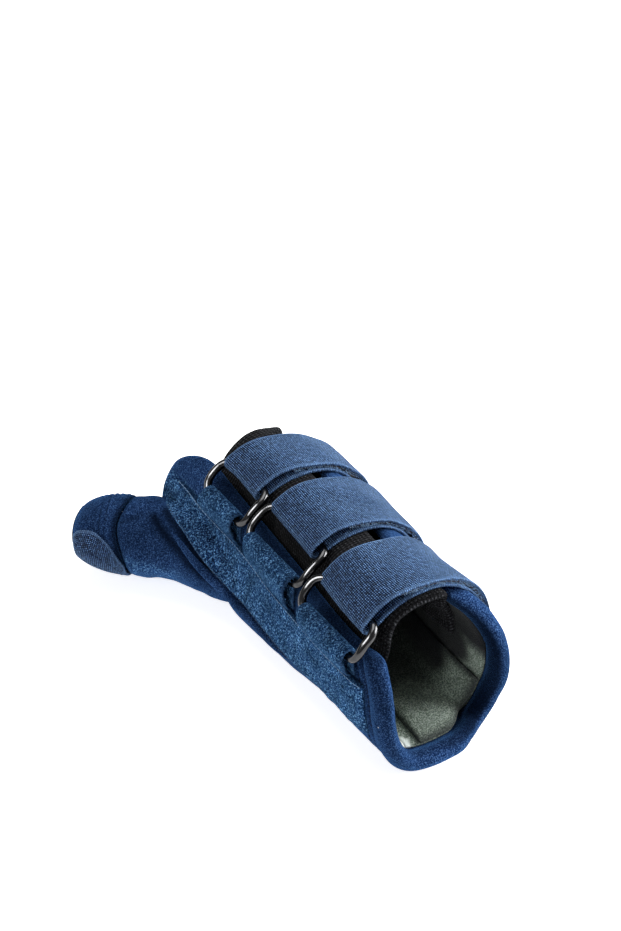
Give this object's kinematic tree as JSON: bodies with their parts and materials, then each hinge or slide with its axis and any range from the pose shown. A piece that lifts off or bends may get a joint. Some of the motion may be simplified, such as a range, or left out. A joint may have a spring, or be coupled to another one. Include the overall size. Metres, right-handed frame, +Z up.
{
  "type": "wrist and thumb brace",
  "caption": "Padded wrist and thumb brace: an open sleeve closed by elastic straps through wire rings, with a thumb tube and a padded stay pocket inside.",
  "frame": {"origin": "middle of the box on the surface it lies on", "axes": "+Y from the forearm towards the fingers, +Z up through the straps, -X towards the thumb"},
  "size_m": [0.1352, 0.2276, 0.0855],
  "materials": {
    "velour": "short velour pile",
    "plush": "loop pile",
    "webbing": "woven elastic",
    "knit": "ribbed knit",
    "lining": "brushed",
    "hook": "hook tape",
    "wire": "polished black"
  },
  "bodies": {
    "root": {"sleeve_shell": "velour", "sleeve_lining": "lining", "stay_pocket": "lining", "side_panel": "plush", "tongue": "knit", "thumb_sleeve": "velour", "thumb_strap": "velour", "thumb_hook_tab": "webbing", "strap_forearm": "webbing", "hook_forearm": "hook", "ring_forearm": "wire", "tab_forearm": "plush", "strap_wrist": "webbing", "hook_wrist": "hook", "ring_wrist": "wire", "tab_wrist": "plush", "strap_hand": "webbing", "hook_hand": "hook", "ring_hand": "wire", "tab_hand": "plush"}
  },
  "joints": []
}
